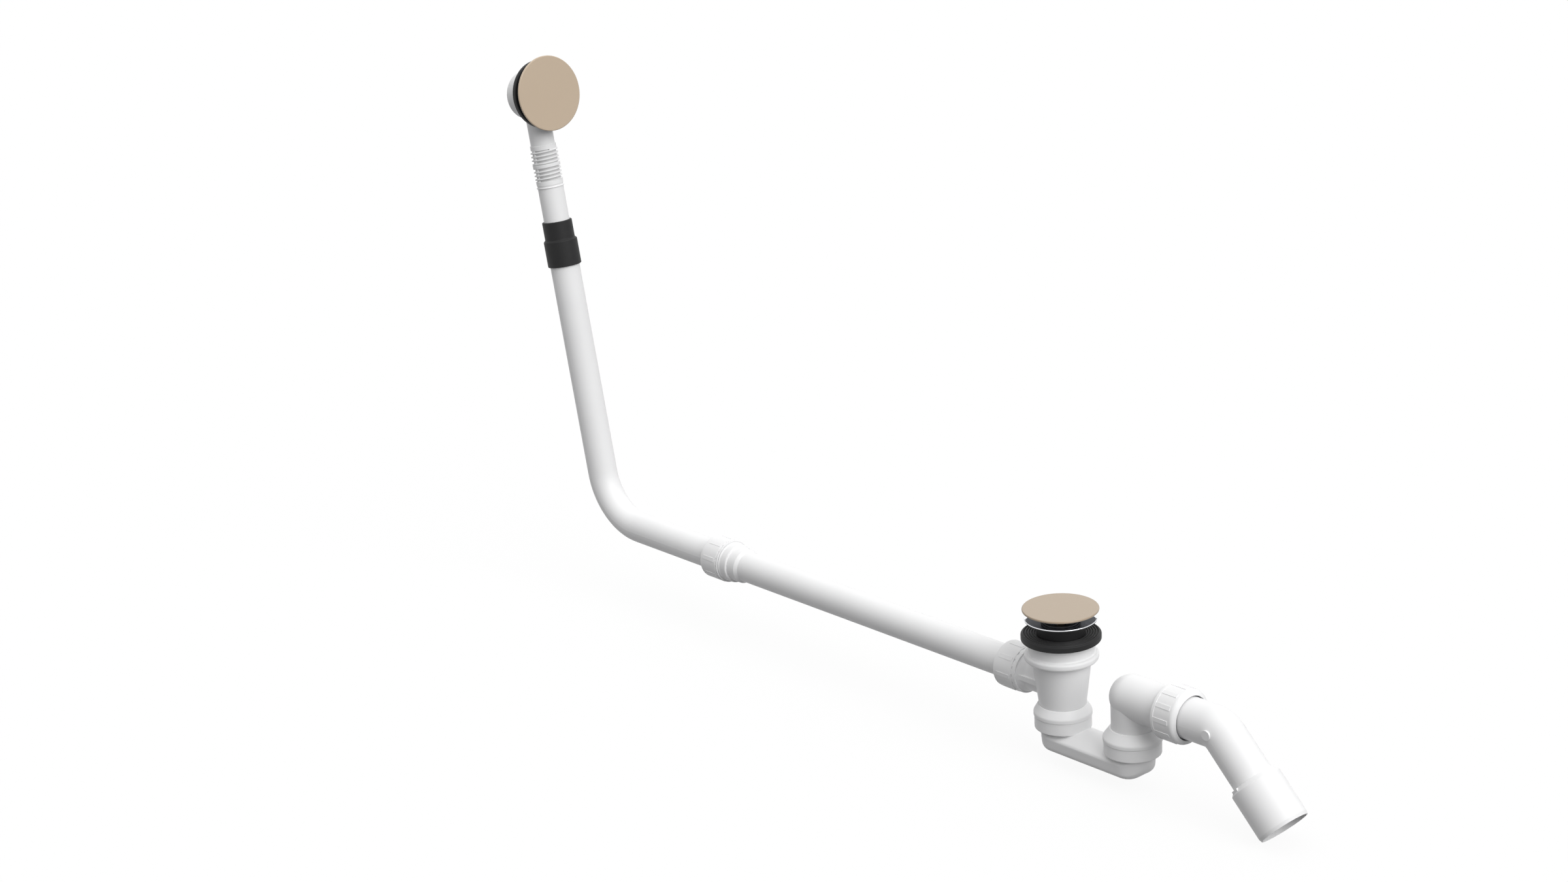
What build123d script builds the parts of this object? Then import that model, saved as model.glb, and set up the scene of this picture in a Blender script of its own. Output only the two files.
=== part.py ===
"""Bath waste and overflow with a low trap, in millimetres.

The origin is on the waste's axis, in the plane of the profile gasket's top face, which is the
underside of the bath's floor. Z points up, the outlet runs along +X and the overflow along -X.
"""

import os
from math import cos, pi, radians, sin

from build123d import *

os.makedirs("parts", exist_ok=True)

# Clearances
slip_gap = 0.1  # a pipe in its socket or rubber, and a thread in its nut
running_gap = 0.08  # the plug's stem in its guide
swivel_gap = 0.2  # a turning spigot in its ring and seal
face_gap = 0.1  # between faces that are screwed up against each other

# The bath that the two ends clamp
bath_floor_gap = 13.0
bath_wall_gap = 5.0

# Waste flange, the metal dish that lies in the bath
rim_radius = 35.0
rim_thickness = 1.1
rim_bead_width = 1.2
rim_bead_height = 0.3
tail_radius = 21.0
tail_wall = 1.6
tail_length = 28.0
grid_depth = 16.8
grid_thickness = 2.0
port_count = 6
port_radius = 4.25
port_circle = 14.2

# Rubber under the flange and on top of the body
flange_seal_radius = 34.4
flange_seal_thickness = 1.0
gasket_radius = 38.2
gasket_thickness = 7.0
gasket_edge_round = 1.2
ridge_count = 5
ridge_height = 0.9
ridge_foot = 2.1
ridge_crest = 0.8
ridge_pitch = 2.55
neck_wall = 2.15

# Waste body
seat_radius = 31.5
seat_height = 13.0
collar_radius = 35.4
collar_thickness = 7.5
collar_round = 3.2
cone_top_radius = 28.4
cone_bottom_radius = 22.6
cone_bottom_drop = 72.3
cone_foot_round = 0.4
body_wall = 2.6
core_groove_width = 2.0
core_groove_depth = 9.0
spigot_radius = 20.0
spigot_wall = 2.2
spigot_drop = 92.0

# Spider in the waste body, its threaded bush and the clamp screw
hub_radius = 9.0
hub_drop = 26.0
hub_height = 10.5
arm_count = 3
arm_thickness = 3.0
bush_radius = 6.5
clamp_screw_radius = 5.0
clamp_head_radius = 8.0
clamp_head_height = 3.5
clamp_screw_length = 32.0
guide_floor = 3.0
spanner_slot_width = 2.0
spanner_slot_depth = 1.2

# Plug
plug_lift = 7.0  # the open gap between the flange's rim and the cover
cover_radius = 36.5
cover_thickness = 2.35
cover_edge_round = 1.0
carrier_radius = 17.5
carrier_plate = 0.9
carrier_lip = 1.2
carrier_waist_radius = 16.0
carrier_hub_radius = 6.0
carrier_hub_height = 7.6
plug_seal_thickness = 2.0
plug_seal_gap = 0.3
stem_radius = 3.5
stem_length = 32.0
stem_insertion = 6.5
spring_wire = 0.4
spring_turns = 7

# Branch from the waste body to the overflow pipe
branch_drop = 51.4
branch_face = 46.4
branch_radius = 18.0
branch_bell_radius = 21.0
branch_bell_length = 8.0
branch_collar_length = 2.6
branch_bore = 13.5
branch_bar_width = 5.0
branch_bar_height = 1.8

# Overflow pipes, with their nuts and tapered seals
pipe_radius = 16.0
pipe_wall = 1.8
thread_radius = 20.6
thread_length = 16.1
mouth_chamfer = 2.4
socket_depth = 21.5
pipe_insertion = 21.0
nut_radius = 22.8
nut_length = 23.7
nut_wall = 3.0
nut_edge_round = 1.0
nut_rib_count = 8
nut_rib_width = 4.0
nut_rib_height = 0.3
nut_rib_start = 2.4
nut_rib_length = 16.5
branch_nut_turn = -5.0
coupling_nut_turn = 16.4
seal_collar_width = 3.9
seal_nose = 1.7
notch_ring_radius = 22.5
notch_ring_length = 2.6
notch_count = 18
notch_width = 3.2
notch_depth = 0.8
notch_length = 1.3

# Lower pipe, from the branch to the coupling
coupling_distance = 435.6
socket_collar_radius = 21.2
socket_collar_length = 2.4
socket_groove_width = 0.9
socket_groove_radius = 19.4
socket_radius = 20.3
socket_length = 8.5
socket_neck_radius = 18.2
socket_neck_length = 11.2
socket_cone_length = 3.7

# Overflow pipe, from the coupling round the bend and up
bend_distance = 203.6
bend_radius = 62.0
riser_lean = 9.88
riser_pipe_length = 311.0

# Rubber sleeve on the riser
sleeve_grip = 26.1
sleeve_step = 28.7
sleeve_length = 49.3
sleeve_wall = 2.2
sleeve_round = 1.0

# Ribbed connector above the sleeve, from its plain tube up to its collar
connector_radius = 14.0
connector_wall = 1.8
connector_gap = 5.5
connector_tube_length = 54.9
stop_ring_width = 0.9
stop_ring_radius = 15.0
stop_ring_gap = 1.9
low_band_width = 4.8
middle_band_rise = 15.0
middle_band_width = 3.4
band_radius = 14.5
middle_band_radius = 15.0
ribbed_length = 33.8
top_collar_width = 5.0
top_collar_radius = 14.1
rib_core_radius = 12.9
rib_crest_radius = 14.9
rib_start = 4.3
rib_pitch = 4.02
rib_slant = 3.8
rib_root_width = 2.5
rib_crest_width = 0.9
spine_width = 3.5
spine_radius = 14.0
flat_depth = 0.8
flat_turn = 24.0

# Overflow head
head_rise = 54.8
neck_setback = 11.86
neck_radius = 13.2
neck_wall_thickness = 2.4
neck_insertion = 3.6
drum_radius = 26.0
drum_wall = 2.2
drum_depth = 25.0
drum_round = 4.0
mouth_flange_radius = 34.0
mouth_flange_thickness = 2.5
wall_gasket_radius = 36.4
wall_gasket_thickness = 5.3
wall_gasket_round = 1.2
wall_flange_radius = 33.0
wall_flange_thickness = 1.6
wall_flange_collar = 23.3
wall_flange_collar_wall = 1.5
wall_flange_reach = 14.0
intake_gap = 3.1
intake_port_radius = 4.5
intake_port_circle = 15.2
wall_hub_radius = 8.0
wall_hub_front = 2.0
wall_hub_back = 5.0
head_cover_radius = 40.2
head_cover_thickness = 2.5
head_cover_round = 1.1
head_socket_wall = 1.8
head_screw_radius = 2.5
head_screw_head_radius = 4.5
head_screw_head_height = 2.4
head_screw_length = 29.0
head_boss_radius = 5.6
head_boss_length = 19.0
head_bush_radius = 3.7
head_bush_length = 10.0

# Trap
trap_centres = 89.0
ring_drop = 84.0
ring_radius = 28.0
ring_shoulder_drop = 80.0
ring_shoulder_round = 3.5
ring_foot_round = 0.9
inlet_ring_top_drop = 72.5
inlet_ring_top_radius = 23.6
outlet_ring_top_drop = 71.1
outlet_ring_top_radius = 21.3
ring_roof_drop = 76.6
ring_inner_radius = 23.2
trap_neck_radius = 27.3
trap_neck_drop = 96.4
trap_neck_round = 0.9
trap_neck_wall = 3.8
trap_neck_floor = 2.5
tongue_radius = 25.0
tongue_height = 5.0
tub_half_width = 22.6
tub_taper = 5.1
tub_drop = 118.0
tub_crown_drop = 93.5
tub_edge_drop = 102.0
tub_end_reach = 20.2
tub_end_round = 19.9
tub_edge_round = 7.0
tub_wall = 2.6

# Outlet elbow
outlet_drop = 40.9
elbow_radius = 21.2
elbow_face = 46.4
elbow_thread_radius = 23.5
elbow_thread_length = 18.8
elbow_thread_start = 1.2
elbow_socket_depth = 14.0

# Outlet nut
outlet_nut_radius = 26.6
outlet_nut_taper = 0.3
outlet_nut_length = 26.6
outlet_nut_nose_radius = 22.0
outlet_nut_nose_length = 5.0
outlet_nut_opening = 21.5
outlet_nut_rim = 3.1
outlet_nut_rim_height = 0.5
outlet_nut_wall = 3.0
outlet_rib_count = 12
outlet_rib_width = 4.0
outlet_rib_height = 0.3
outlet_rib_length = 17.0
outlet_nut_turn = -3.4
outlet_seal_width = 2.6
outlet_washer_width = 0.8

# Outlet bend and the sleeve on its end
outlet_pipe_radius = 20.0
outlet_pipe_wall = 1.8
outlet_corner_distance = 107.3
outlet_bend_radius = 22.0
outlet_pipe_insertion = 12.0
outlet_leg_length = 80.0
boss_radius = 4.75
boss_height = 0.9
drain_sleeve_start = 54.2
drain_sleeve_radius = 25.0
drain_sleeve_wall = 2.0
drain_sleeve_length = 50.8
drain_lip_radius = 21.6
drain_lip_length = 0.9
drain_shoulder_length = 3.2
drain_end_chamfer = 3.1
drain_end_radius = 24.1
drain_grip_length = 16.0
drain_tab_width = 9.0
drain_tab_height = 2.3
drain_tab_turn = 10.0


# Heights on the waste's axis, worked out from the gasket's top face upwards and downwards
rim_bottom = bath_floor_gap + flange_seal_thickness
rim_top = rim_bottom + rim_thickness
rim_floor = rim_top - rim_bead_height
tail_bore = tail_radius - tail_wall
tail_bottom = rim_bottom - tail_length
grid_top = rim_floor - grid_depth
seat_top = -gasket_thickness
collar_top = seat_top - seat_height
collar_bottom = collar_top - collar_thickness
cone_inner_top = cone_top_radius - body_wall
hub_bottom = -hub_drop - hub_height
cover_bottom = rim_top + plug_lift
carrier_seat = cover_bottom - carrier_plate
seal_floor = carrier_seat - plug_seal_thickness
carrier_bottom = cover_bottom - carrier_hub_height
stem_top = carrier_bottom + stem_insertion
guide_bore = stem_radius + running_gap
screw_bottom = grid_top - clamp_screw_length
guide_bottom = screw_bottom + guide_floor

# Heights along the riser, from the corner that its bend rounds off
sleeve_low = riser_pipe_length - sleeve_grip
connector_low = riser_pipe_length + connector_gap
stop_ring_height = connector_low + connector_tube_length
low_band_height = stop_ring_height + stop_ring_width + stop_ring_gap
low_band_top = low_band_height + low_band_width
top_collar_height = low_band_top + ribbed_length
top_collar_top = top_collar_height + top_collar_width
head_height = top_collar_top + head_rise

# Places along the two level runs and the leaning riser
pipe_bore = pipe_radius - pipe_wall
riser_sin = sin(radians(riser_lean))
riser_cos = cos(radians(riser_lean))
riser_way = Vector(-riser_sin, 0, riser_cos)
head_way = Vector(riser_cos, 0, riser_sin)
bend_corner = Vector(-branch_face - coupling_distance - bend_distance, 0, -branch_drop)

# Places along the head's own axis, from the cover's front (0) to the back of the drum
wall_flange_front = -head_cover_thickness - intake_gap
wall_flange_back = wall_flange_front - wall_flange_thickness
wall_gasket_front = wall_flange_back - bath_wall_gap
drum_mouth = wall_gasket_front - wall_gasket_thickness
mouth_flange_back = drum_mouth - mouth_flange_thickness
drum_back = mouth_flange_back - drum_depth
head_centre = bend_corner + riser_way * head_height + head_way * (neck_setback - drum_mouth)

# Outlines are turned about each plane's own x direction, as points (along, radius)
waste_axis = Plane(origin=(0, 0, 0), x_dir=(0, 0, 1), z_dir=(0, 1, 0))
trap_outlet_axis = Plane(origin=(trap_centres, 0, 0), x_dir=(0, 0, 1), z_dir=(0, 1, 0))
branch_joint = Plane(origin=(-branch_face, 0, -branch_drop), x_dir=(-1, 0, 0), z_dir=(0, 1, 0))
coupling_joint = Plane(
    origin=(-branch_face - coupling_distance, 0, -branch_drop), x_dir=(-1, 0, 0), z_dir=(0, 1, 0)
)
riser = Plane(origin=bend_corner, x_dir=riser_way, z_dir=(0, -1, 0))
head = Plane(origin=head_centre, x_dir=head_way, z_dir=(0, -1, 0))
outlet_joint = Plane(
    origin=(trap_centres + elbow_face, 0, -outlet_drop), x_dir=(1, 0, 0), z_dir=(0, -1, 0)
)
elbow_centre = Vector(trap_centres, 0, -outlet_drop)
outlet_corner = Vector(trap_centres + outlet_corner_distance, 0, -outlet_drop)
outlet_leg = Plane(origin=outlet_corner, x_dir=(1, 0, -1), z_dir=(0, -1, 0))


def turned(plane, *outline, mode=Mode.ADD):
    """Turn a closed outline about the plane's x direction; a third number rounds that corner."""
    corners = [point[:2] for point in outline]
    rounds = [point[2] if len(point) == 3 else 0 for point in outline]
    with BuildSketch(plane) as section:
        with BuildLine():
            FilletPolyline(*corners, radius=rounds, close=True)
        make_face()
    revolve(section.sketch, axis=Axis(plane.origin, plane.x_dir), mode=mode)


def rod(plane, start, end, radius, mode=Mode.ADD):
    """A plain round bar, or with Mode.SUBTRACT a hole, along the plane's x direction."""
    turned(plane, (start, 0), (start, radius), (end, radius), (end, 0), mode=mode)


def across(plane, along):
    """The plane that faces along the run at one place on it, with its x direction towards -Y."""
    return Plane(origin=plane.from_local_coords((along, 0, 0)), x_dir=(0, -1, 0), z_dir=plane.x_dir)


def notch(plane):
    """Cut the notches into the face of a socket's ring, where the nut comes up to it."""
    with BuildSketch(across(plane, -notch_length)) as notches:
        with PolarLocations(notch_ring_radius, notch_count):
            Rectangle(notch_depth * 2, notch_width)
    extrude(notches.sketch, amount=notch_length, mode=Mode.SUBTRACT)


def finish(piece, node):
    """Name a finished piece and write it to its own file."""
    piece.part.label = node
    export_step(piece.part, f"parts/{node}.step")


# Waste flange: a thin polished dish with a tail that reaches down through the bath
with BuildPart() as waste_flange:
    turned(
        waste_axis,
        (rim_bottom, tail_radius),
        (rim_bottom, rim_radius, 0.3),
        (rim_top, rim_radius, 0.6),
        (rim_top, rim_radius - rim_bead_width),
        (rim_floor, rim_radius - rim_bead_width - rim_bead_height),
        (rim_floor, tail_bore, tail_wall / 2),
        (grid_top, tail_bore),
        (grid_top, clamp_screw_radius + slip_gap),
        (grid_top - grid_thickness, clamp_screw_radius + slip_gap),
        (grid_top - grid_thickness, tail_bore),
        (tail_bottom, tail_bore),
        (tail_bottom, tail_radius),
    )
    with BuildSketch(Plane.XY.offset(grid_top)):
        with PolarLocations(port_circle, port_count):
            Circle(port_radius)
    extrude(amount=-grid_thickness, mode=Mode.SUBTRACT)
finish(waste_flange, "waste_flange")

# Flange seal: a flat rubber ring between the dish and the bath
with BuildPart() as flange_seal:
    turned(
        waste_axis,
        (bath_floor_gap, tail_radius + slip_gap),
        (bath_floor_gap, flange_seal_radius),
        (rim_bottom, flange_seal_radius),
        (rim_bottom, tail_radius + slip_gap),
    )
finish(flange_seal, "flange_seal")

# Profile gasket: a thick rubber ring with concentric ridges and a neck round the tail
neck_outer_radius = tail_radius + slip_gap + neck_wall
with BuildPart() as profile_gasket:
    turned(
        waste_axis,
        (seat_top, tail_radius + slip_gap),
        (seat_top, gasket_radius, gasket_edge_round),
        (-ridge_height, gasket_radius, gasket_edge_round),
        (-ridge_height, neck_outer_radius),
        (bath_floor_gap, neck_outer_radius),
        (bath_floor_gap, tail_radius + slip_gap),
    )
    for ridge in range(ridge_count):
        ridge_radius = gasket_radius - gasket_edge_round - ridge_foot / 2 - ridge * ridge_pitch
        turned(
            waste_axis,
            (-ridge_height - face_gap, ridge_radius - ridge_foot / 2),
            (-ridge_height, ridge_radius - ridge_foot / 2),
            (0, ridge_radius - ridge_crest / 2),
            (0, ridge_radius + ridge_crest / 2),
            (-ridge_height, ridge_radius + ridge_foot / 2),
            (-ridge_height - face_gap, ridge_radius + ridge_foot / 2),
        )
finish(profile_gasket, "profile_gasket")

# Waste body: seat and collar, hollow cone, spigot, and the branch for the overflow
cone_fall = (cone_top_radius - cone_bottom_radius) / (cone_bottom_drop + collar_bottom)
cone_inner_foot = -cone_bottom_drop + body_wall * 2
with BuildPart() as waste_body:
    turned(
        waste_axis,
        (seat_top, 0),
        (seat_top, seat_radius, 0.8),
        (collar_top, seat_radius, 1.5),
        (collar_top, collar_radius, 2.4),
        (collar_bottom, collar_radius, collar_round),
        (collar_bottom, cone_top_radius, 1.2),
        (-cone_bottom_drop, cone_bottom_radius, cone_foot_round),
        (-cone_bottom_drop, spigot_radius),
        (-spigot_drop, spigot_radius, 0.8),
        (-spigot_drop, 0),
    )
    turned(
        branch_joint,
        (-branch_face, 0),
        (-branch_face, branch_radius),
        (-notch_ring_length - branch_collar_length - branch_bell_length, branch_radius, 5.0),
        (-notch_ring_length - branch_collar_length, branch_bell_radius),
        (-notch_ring_length - branch_collar_length, notch_ring_radius, 0.6),
        (0, notch_ring_radius),
        (0, thread_radius),
        (thread_length, thread_radius),
        (thread_length, 0),
    )
    with BuildSketch(Plane.YZ.offset(-branch_face + notch_ring_length)):
        with Locations((-branch_radius / 2 - branch_bar_height / 2, -branch_drop)):
            Rectangle(branch_radius + branch_bar_height, branch_bar_width)
    extrude(amount=branch_face - notch_ring_length)
    turned(
        waste_axis,
        (seat_top, 0),
        (seat_top, cone_inner_top),
        (collar_bottom, cone_inner_top),
        (cone_inner_foot, cone_inner_top - cone_fall * (collar_bottom - cone_inner_foot)),
        (-cone_bottom_drop, spigot_radius - spigot_wall),
        (-spigot_drop, spigot_radius - spigot_wall),
        (-spigot_drop, 0),
        mode=Mode.SUBTRACT,
    )
    turned(
        waste_axis,
        (seat_top, seat_radius - body_wall),
        (seat_top - core_groove_depth, seat_radius - body_wall),
        (seat_top - core_groove_depth, seat_radius - body_wall - core_groove_width),
        (seat_top, seat_radius - body_wall - core_groove_width),
        mode=Mode.SUBTRACT,
    )
    turned(
        branch_joint,
        (-branch_face, 0),
        (-branch_face, branch_bore),
        (thread_length - socket_depth, branch_bore),
        (thread_length - socket_depth, pipe_radius + slip_gap),
        (thread_length - mouth_chamfer, pipe_radius + slip_gap),
        (thread_length, pipe_radius + slip_gap + mouth_chamfer),
        (thread_length, 0),
        mode=Mode.SUBTRACT,
    )
    notch(branch_joint)
    with BuildSketch(Plane.XY.offset(hub_bottom)):
        Circle(hub_radius)
        with PolarLocations((cone_inner_top + body_wall / 2) / 2, arm_count):
            Rectangle(cone_inner_top + body_wall / 2, arm_thickness)
        Circle(bush_radius, mode=Mode.SUBTRACT)
    extrude(amount=hub_height)
finish(waste_body, "waste_body")

# Threaded bush, moulded into the hub of the body
with BuildPart() as hub_bush:
    turned(
        waste_axis,
        (hub_bottom, clamp_screw_radius + slip_gap),
        (hub_bottom, bush_radius),
        (-hub_drop, bush_radius),
        (-hub_drop, clamp_screw_radius + slip_gap),
    )
finish(hub_bush, "hub_bush")

# Clamp screw: it pulls the flange down on the body, and its bore guides the plug's stem
with BuildPart() as clamp_screw:
    turned(
        waste_axis,
        (screw_bottom, 0),
        (screw_bottom, clamp_screw_radius, 0.8),
        (grid_top, clamp_screw_radius),
        (grid_top, clamp_head_radius),
        (grid_top + clamp_head_height, clamp_head_radius, 0.8),
        (grid_top + clamp_head_height, 0),
    )
    rod(waste_axis, guide_bottom, grid_top + clamp_head_height, guide_bore, mode=Mode.SUBTRACT)
    with BuildSketch(Plane.XY.offset(grid_top + clamp_head_height)):
        with PolarLocations(clamp_head_radius, 2):
            Rectangle((clamp_head_radius - guide_bore) * 1.2, spanner_slot_width)
    extrude(amount=-spanner_slot_depth, mode=Mode.SUBTRACT)
finish(clamp_screw, "clamp_screw")

# Plug cover: the coloured disc over the waste, shown raised
with BuildPart() as waste_cover:
    turned(
        waste_axis,
        (cover_bottom, 0),
        (cover_bottom, cover_radius, cover_edge_round),
        (cover_bottom + cover_thickness, cover_radius, cover_edge_round),
        (cover_bottom + cover_thickness, 0),
    )
finish(waste_cover, "waste_cover")

# Seal carrier under the cover, with a groove for the ring and a hub for the stem
with BuildPart() as seal_carrier:
    turned(
        waste_axis,
        (carrier_bottom, stem_radius),
        (carrier_bottom, carrier_hub_radius),
        (seal_floor - carrier_lip, carrier_hub_radius),
        (seal_floor - carrier_lip, carrier_radius, 0.4),
        (seal_floor, carrier_radius),
        (seal_floor, carrier_waist_radius),
        (carrier_seat, carrier_waist_radius),
        (carrier_seat, carrier_radius),
        (cover_bottom, carrier_radius),
        (cover_bottom, 0),
        (stem_top, 0),
        (stem_top, stem_radius),
    )
finish(seal_carrier, "seal_carrier")

# Plug seal: the rubber ring that closes the flange's bore
with BuildPart() as plug_seal:
    turned(
        waste_axis,
        (seal_floor, carrier_waist_radius + slip_gap),
        (seal_floor, tail_bore - plug_seal_gap, 0.7),
        (carrier_seat, tail_bore - plug_seal_gap, 0.7),
        (carrier_seat, carrier_waist_radius + slip_gap),
    )
finish(plug_seal, "plug_seal")

# Plug stem: a round pin that slides in the clamp screw
stem_bottom = stem_top - stem_length
with BuildPart() as plug_stem:
    turned(
        waste_axis,
        (stem_bottom, 0),
        (stem_bottom, stem_radius, 0.6),
        (stem_top, stem_radius),
        (stem_top, 0),
    )
finish(plug_stem, "plug_stem")

# Click spring below the stem, standing on the floor of the guide
spring_coil_radius = stem_radius - spring_wire - running_gap
spring_height = stem_bottom - guide_bottom - spring_wire * 2 - face_gap * 2
with BuildPart() as click_spring:
    with BuildLine():
        Helix(
            pitch=spring_height / spring_turns,
            height=spring_height,
            radius=spring_coil_radius,
            center=(0, 0, guide_bottom + spring_wire + face_gap),
        )
    with BuildSketch(
        Plane(
            origin=(spring_coil_radius, 0, guide_bottom + spring_wire + face_gap),
            x_dir=(1, 0, 0),
            z_dir=(0, spring_coil_radius * 2 * pi, spring_height / spring_turns),
        )
    ):
        RegularPolygon(spring_wire, 6)
    sweep(is_frenet=True)
finish(click_spring, "click_spring")

# Nuts of the two overflow joints: a threaded cap with grip ribs and a hole for the pipe
for node, joint, turn in (
    ("branch_nut", branch_joint, branch_nut_turn),
    ("coupling_nut", coupling_joint, coupling_nut_turn),
):
    with BuildPart() as nut:
        turned(
            joint,
            (face_gap, thread_radius + slip_gap),
            (face_gap, nut_radius, 0.4),
            (nut_length, nut_radius, nut_edge_round),
            (nut_length, pipe_radius + swivel_gap),
            (nut_length - nut_wall, pipe_radius + swivel_gap),
            (nut_length - nut_wall, thread_radius + slip_gap),
        )
        with BuildSketch(across(joint, nut_rib_start)):
            with PolarLocations(nut_radius, nut_rib_count, start_angle=turn):
                Rectangle(nut_rib_height * 2, nut_rib_width)
        extrude(amount=nut_rib_length)
    finish(nut, node)

# Tapered rubber rings that the two nuts press into the sockets
seal_outer_radius = pipe_radius + slip_gap + mouth_chamfer - face_gap
for node, joint in (("branch_seal", branch_joint), ("coupling_seal", coupling_joint)):
    with BuildPart() as pipe_seal:
        turned(
            joint,
            (thread_length - seal_nose, pipe_radius + slip_gap),
            (thread_length - seal_nose, seal_outer_radius - seal_nose),
            (thread_length + face_gap, seal_outer_radius),
            (thread_length + face_gap, thread_radius - slip_gap, 0.4),
            (thread_length + seal_collar_width, thread_radius - slip_gap, 0.4),
            (thread_length + seal_collar_width, pipe_radius + slip_gap),
        )
    finish(pipe_seal, node)

# Lower pipe: from the branch to the coupling, where it widens into a threaded socket
lower_socket_back = -notch_ring_length - socket_collar_length - socket_length
lower_neck_back = lower_socket_back - socket_neck_length
lower_cone_back = lower_neck_back - socket_cone_length
lower_pipe_end = thread_length - pipe_insertion - coupling_distance
with BuildPart() as lower_pipe:
    turned(
        coupling_joint,
        (lower_pipe_end, 0),
        (lower_pipe_end, pipe_radius),
        (lower_cone_back, pipe_radius),
        (lower_neck_back, socket_neck_radius),
        (lower_socket_back, socket_neck_radius),
        (lower_socket_back, socket_radius, 1.0),
        (-notch_ring_length - socket_collar_length, socket_radius),
        (-notch_ring_length - socket_groove_width, socket_collar_radius),
        (-notch_ring_length - socket_groove_width, socket_groove_radius),
        (-notch_ring_length, socket_groove_radius),
        (-notch_ring_length, notch_ring_radius, 0.4),
        (0, notch_ring_radius),
        (0, thread_radius),
        (thread_length, thread_radius),
        (thread_length, 0),
    )
    turned(
        coupling_joint,
        (lower_pipe_end, 0),
        (lower_pipe_end, pipe_bore),
        (thread_length - socket_depth, pipe_bore),
        (thread_length - socket_depth, pipe_radius + slip_gap),
        (thread_length - mouth_chamfer, pipe_radius + slip_gap),
        (thread_length, pipe_radius + slip_gap + mouth_chamfer),
        (thread_length, 0),
        mode=Mode.SUBTRACT,
    )
    notch(coupling_joint)
finish(lower_pipe, "lower_pipe")

# Overflow pipe: straight out of the coupling, round one wide bend and up the leaning riser
with BuildPart() as overflow_pipe:
    with BuildLine() as route:
        FilletPolyline(
            coupling_joint.from_local_coords((thread_length - pipe_insertion, 0, 0)),
            bend_corner,
            riser.from_local_coords((riser_pipe_length, 0, 0)),
            radius=bend_radius,
        )
    with BuildSketch(across(coupling_joint, thread_length - pipe_insertion)):
        Circle(pipe_radius)
        Circle(pipe_bore, mode=Mode.SUBTRACT)
    sweep()
finish(overflow_pipe, "overflow_pipe")

# Rubber sleeve: it joins the wide pipe below to the narrower connector above
sleeve_shoulder = sleeve_low + sleeve_step
sleeve_top = sleeve_low + sleeve_length
with BuildPart() as rubber_sleeve:
    turned(
        riser,
        (sleeve_low, pipe_radius + slip_gap),
        (sleeve_low, pipe_radius + slip_gap + sleeve_wall, sleeve_round),
        (sleeve_shoulder - 1.0, pipe_radius + slip_gap + sleeve_wall, sleeve_round),
        (sleeve_shoulder + 1.0, connector_radius + slip_gap + sleeve_wall, sleeve_round),
        (sleeve_top, connector_radius + slip_gap + sleeve_wall, sleeve_round),
        (sleeve_top, connector_radius + slip_gap),
        (sleeve_shoulder, connector_radius + slip_gap),
        (sleeve_shoulder, pipe_radius + slip_gap),
    )
finish(rubber_sleeve, "rubber_sleeve")

# Ribbed connector: a coarse slanting rib between bands, with a spine and a flat down each side
neck_socket_floor = top_collar_top - neck_insertion - face_gap
connector_bore = connector_radius - connector_wall
neck_bore = neck_radius - neck_wall_thickness
rib_way = riser_way * cos(radians(rib_slant)) - Vector(0, 1, 0) * sin(radians(rib_slant))
riser_side = Plane(origin=bend_corner, x_dir=riser_way, z_dir=head_way)
with BuildPart() as overflow_connector:
    turned(
        riser_side,
        (connector_low, 0),
        (connector_low, connector_radius, 0.5),
        (stop_ring_height, connector_radius),
        (stop_ring_height, stop_ring_radius),
        (stop_ring_height + stop_ring_width, stop_ring_radius),
        (stop_ring_height + stop_ring_width, connector_radius),
        (low_band_height, connector_radius),
        (low_band_height, band_radius),
        (low_band_top, band_radius),
        (low_band_top, rib_core_radius),
        (top_collar_height, rib_core_radius),
        (top_collar_height, top_collar_radius),
        (top_collar_top, top_collar_radius, 0.4),
        (top_collar_top, 0),
    )
    with BuildSketch(across(riser, low_band_top)):
        with PolarLocations(rib_core_radius, 2, start_angle=flat_turn):
            Rectangle(flat_depth * 2, rib_core_radius * 2)
    extrude(amount=top_collar_height - low_band_top, mode=Mode.SUBTRACT)
    with BuildSketch(across(riser, low_band_top)):
        with PolarLocations((rib_core_radius + spine_radius) / 2 - flat_depth / 2, 2):
            Rectangle(spine_radius - rib_core_radius + flat_depth, spine_width)
    extrude(amount=top_collar_height - low_band_top)
    rib_foot = rib_core_radius - flat_depth * 1.5
    for rib in range(int((ribbed_length - rib_start) / rib_pitch) + 1):
        rib_height = low_band_top + rib_start + rib * rib_pitch
        rib_centre = riser.from_local_coords((rib_height, 0, 0))
        turned(
            Plane(origin=rib_centre, x_dir=rib_way, z_dir=head_way),
            (-rib_root_width / 2, rib_foot),
            (-rib_crest_width / 2, rib_crest_radius),
            (rib_crest_width / 2, rib_crest_radius),
            (rib_root_width / 2, rib_foot),
        )
    middle_band = low_band_top + middle_band_rise
    rod(riser_side, middle_band, middle_band + middle_band_width, middle_band_radius)
    turned(
        riser_side,
        (connector_low, 0),
        (connector_low, connector_bore),
        (low_band_height, connector_bore),
        (low_band_top, neck_bore),
        (neck_socket_floor, neck_bore),
        (neck_socket_floor, neck_radius + slip_gap),
        (top_collar_top, neck_radius + slip_gap),
        (top_collar_top, 0),
        mode=Mode.SUBTRACT,
    )
finish(overflow_connector, "overflow_connector")

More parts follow.
